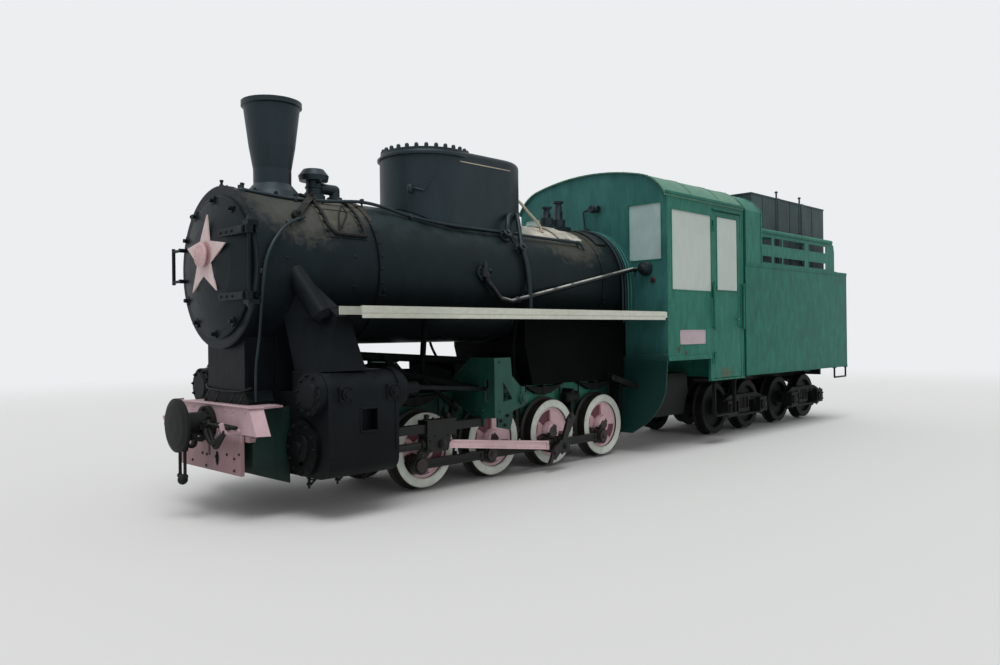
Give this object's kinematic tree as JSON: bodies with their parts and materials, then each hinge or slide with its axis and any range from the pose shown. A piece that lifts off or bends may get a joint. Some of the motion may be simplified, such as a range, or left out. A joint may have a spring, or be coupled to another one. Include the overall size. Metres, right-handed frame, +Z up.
{
  "type": "narrow-gauge tender steam locomotive",
  "caption": "Narrow-gauge steam locomotive with coupled driving wheels, outside cylinders, long casing on the boiler, boarded cab and a bogie tender with fuel bunker.",
  "frame": {"origin": "middle of the whole length and width, on the plane that the wheel flanges stand on", "axes": "+X forward towards the smokebox, +Y to the left side, +Z up"},
  "size_m": [9.48, 2.058, 3.003],
  "materials": {
    "black_paint": "faded black paint over lagging sheet",
    "green_paint": "brushed green paint",
    "pink_paint": "faded red oxide paint, now pink",
    "white_paint": "chalky white paint",
    "dark_iron": "sooty, oily iron",
    "bare_steel": "dull greasy steel",
    "board_paint": "white painted board"
  },
  "bodies": {
    "locomotive": {"main_frame": "green_paint", "axle_boxes": "dark_iron", "slide_bars": "bare_steel", "cylinders": "black_paint", "steam_pipes": "black_paint", "motion_brackets": "green_paint", "boiler": "black_paint", "smokebox": "black_paint", "saddle": "black_paint", "chimney": "black_paint", "dome_casing": "black_paint", "relief_valve": "black_paint", "safety_valves": "black_paint", "firebox": "black_paint", "running_boards": "black_paint", "cab_roof": "green_paint", "cab_front": "green_paint", "cab_side_left": "green_paint", "cab_side_right": "green_paint", "cab_back": "green_paint", "cab_floor": "green_paint", "window_boards": "board_paint", "backhead": "dark_iron", "apron": "green_paint", "front_beam": "pink_paint", "front_coupler": "dark_iron", "handrails": "green_paint", "cab_steps": "green_paint", "feed_pipes": "black_paint"},
    "driving_axle_1": {"wheelset_1": "pink_paint", "tyres_1": "white_paint"},
    "driving_axle_2": {"wheelset_2": "pink_paint", "tyres_2": "white_paint"},
    "driving_axle_3": {"wheelset_3": "pink_paint", "tyres_3": "white_paint"},
    "driving_axle_4": {"wheelset_4": "pink_paint", "tyres_4": "white_paint"},
    "coupling_rod_left": {"coupling_rod_left": "bare_steel"},
    "crosshead_left": {"crosshead_left": "bare_steel"},
    "connecting_rod_left": {"connecting_rod_left": "pink_paint"},
    "coupling_rod_right": {"coupling_rod_right": "bare_steel"},
    "crosshead_right": {"crosshead_right": "bare_steel"},
    "connecting_rod_right": {"connecting_rod_right": "pink_paint"},
    "smokebox_door": {"smokebox_door": "black_paint", "door_star": "pink_paint"},
    "cab_door_left": {"cab_door_left": "green_paint"},
    "cab_door_right": {"cab_door_right": "green_paint"},
    "tender": {"tender_tank": "green_paint", "coal_rails": "green_paint", "bunker": "dark_iron", "tender_screen": "green_paint", "tender_frame": "dark_iron", "rear_coupler": "dark_iron", "drawbar": "dark_iron"},
    "bogie_1": {"bogie_1": "dark_iron"},
    "bogie_1_wheelset_front": {"bogie_1_wheelset_front": "dark_iron"},
    "bogie_1_wheelset_rear": {"bogie_1_wheelset_rear": "dark_iron"},
    "bogie_2": {"bogie_2": "dark_iron"},
    "bogie_2_wheelset_front": {"bogie_2_wheelset_front": "dark_iron"},
    "bogie_2_wheelset_rear": {"bogie_2_wheelset_rear": "dark_iron"}
  },
  "joints": [
    {"name": "driving_axle_1_turn", "type": "hinge", "parent": "locomotive", "child": "driving_axle_1", "pos_m": [2.9, 0, 0.325], "axis": [0, 1, 0], "continuous": true},
    {"name": "driving_axle_2_turn", "type": "hinge", "parent": "locomotive", "child": "driving_axle_2", "pos_m": [2.12, 0, 0.325], "axis": [0, 1, 0], "continuous": true},
    {"name": "driving_axle_3_turn", "type": "hinge", "parent": "locomotive", "child": "driving_axle_3", "pos_m": [1.34, 0, 0.325], "axis": [0, 1, 0], "continuous": true},
    {"name": "driving_axle_4_turn", "type": "hinge", "parent": "locomotive", "child": "driving_axle_4", "pos_m": [0.56, 0, 0.325], "axis": [0, 1, 0], "continuous": true},
    {"name": "coupling_rod_left_swing", "type": "hinge", "parent": "driving_axle_3", "child": "coupling_rod_left", "pos_m": [1.4497, 0.523, 0.2227], "axis": [0, 1, 0], "continuous": true},
    {"name": "crosshead_left_slide", "type": "slide", "parent": "locomotive", "child": "crosshead_left", "axis": [1, 0, 0], "range_m": [-0.251, 0.048]},
    {"name": "connecting_rod_left_swing", "type": "hinge", "parent": "crosshead_left", "child": "connecting_rod_left", "pos_m": [2.91662, 0.645, 0.395], "axis": [0, 1, 0], "range_deg": [-1.9, 9.8]},
    {"name": "coupling_rod_right_swing", "type": "hinge", "parent": "driving_axle_3", "child": "coupling_rod_right", "pos_m": [1.2377, -0.523, 0.2153], "axis": [0, 1, 0], "continuous": true},
    {"name": "crosshead_right_slide", "type": "slide", "parent": "locomotive", "child": "crosshead_right", "axis": [1, 0, 0], "range_m": [-0.038, 0.261]},
    {"name": "connecting_rod_right_swing", "type": "hinge", "parent": "crosshead_right", "child": "connecting_rod_right", "pos_m": [2.70373, -0.645, 0.395], "axis": [0, 1, 0], "range_deg": [-1.6, 10.1]},
    {"name": "smokebox_door_hinge", "type": "hinge", "parent": "locomotive", "child": "smokebox_door", "pos_m": [4.44, 0.53, 1.747], "axis": [0, 0, 1], "range_deg": [0, 110]},
    {"name": "cab_door_left_hinge", "type": "hinge", "parent": "locomotive", "child": "cab_door_left", "pos_m": [-0.74525, 1, 1.65], "axis": [0, 0, -1], "range_deg": [0, 90]},
    {"name": "cab_door_right_hinge", "type": "hinge", "parent": "locomotive", "child": "cab_door_right", "pos_m": [-0.74525, -1, 1.65], "axis": [0, 0, 1], "range_deg": [0, 90]},
    {"name": "drawbar_hinge", "type": "hinge", "parent": "locomotive", "child": "tender", "pos_m": [-1.24, 0, 0.63], "axis": [0, 0, 1], "range_deg": [-3, 3]},
    {"name": "bogie_1_swivel", "type": "hinge", "parent": "tender", "child": "bogie_1", "pos_m": [-2.05, 0, 0.54], "axis": [0, 0, 1], "range_deg": [-4, 4]},
    {"name": "bogie_1_wheelset_front_turn", "type": "hinge", "parent": "bogie_1", "child": "bogie_1_wheelset_front", "pos_m": [-1.65, 0, 0.325], "axis": [0, 1, 0], "continuous": true},
    {"name": "bogie_1_wheelset_rear_turn", "type": "hinge", "parent": "bogie_1", "child": "bogie_1_wheelset_rear", "pos_m": [-2.45, 0, 0.325], "axis": [0, 1, 0], "continuous": true},
    {"name": "bogie_2_swivel", "type": "hinge", "parent": "tender", "child": "bogie_2", "pos_m": [-3.74, 0, 0.54], "axis": [0, 0, 1], "range_deg": [-4, 4]},
    {"name": "bogie_2_wheelset_front_turn", "type": "hinge", "parent": "bogie_2", "child": "bogie_2_wheelset_front", "pos_m": [-3.34, 0, 0.325], "axis": [0, 1, 0], "continuous": true},
    {"name": "bogie_2_wheelset_rear_turn", "type": "hinge", "parent": "bogie_2", "child": "bogie_2_wheelset_rear", "pos_m": [-4.14, 0, 0.325], "axis": [0, 1, 0], "continuous": true}
  ],
  "couplings": [
    {"joint": "driving_axle_1_turn", "follows": "driving_axle_3_turn", "ratio": 1},
    {"joint": "driving_axle_2_turn", "follows": "driving_axle_3_turn", "ratio": 1},
    {"joint": "driving_axle_4_turn", "follows": "driving_axle_3_turn", "ratio": 1},
    {"joint": "coupling_rod_left_swing", "follows": "driving_axle_3_turn", "ratio": -1},
    {"joint": "coupling_rod_right_swing", "follows": "driving_axle_3_turn", "ratio": -1}
  ]
}
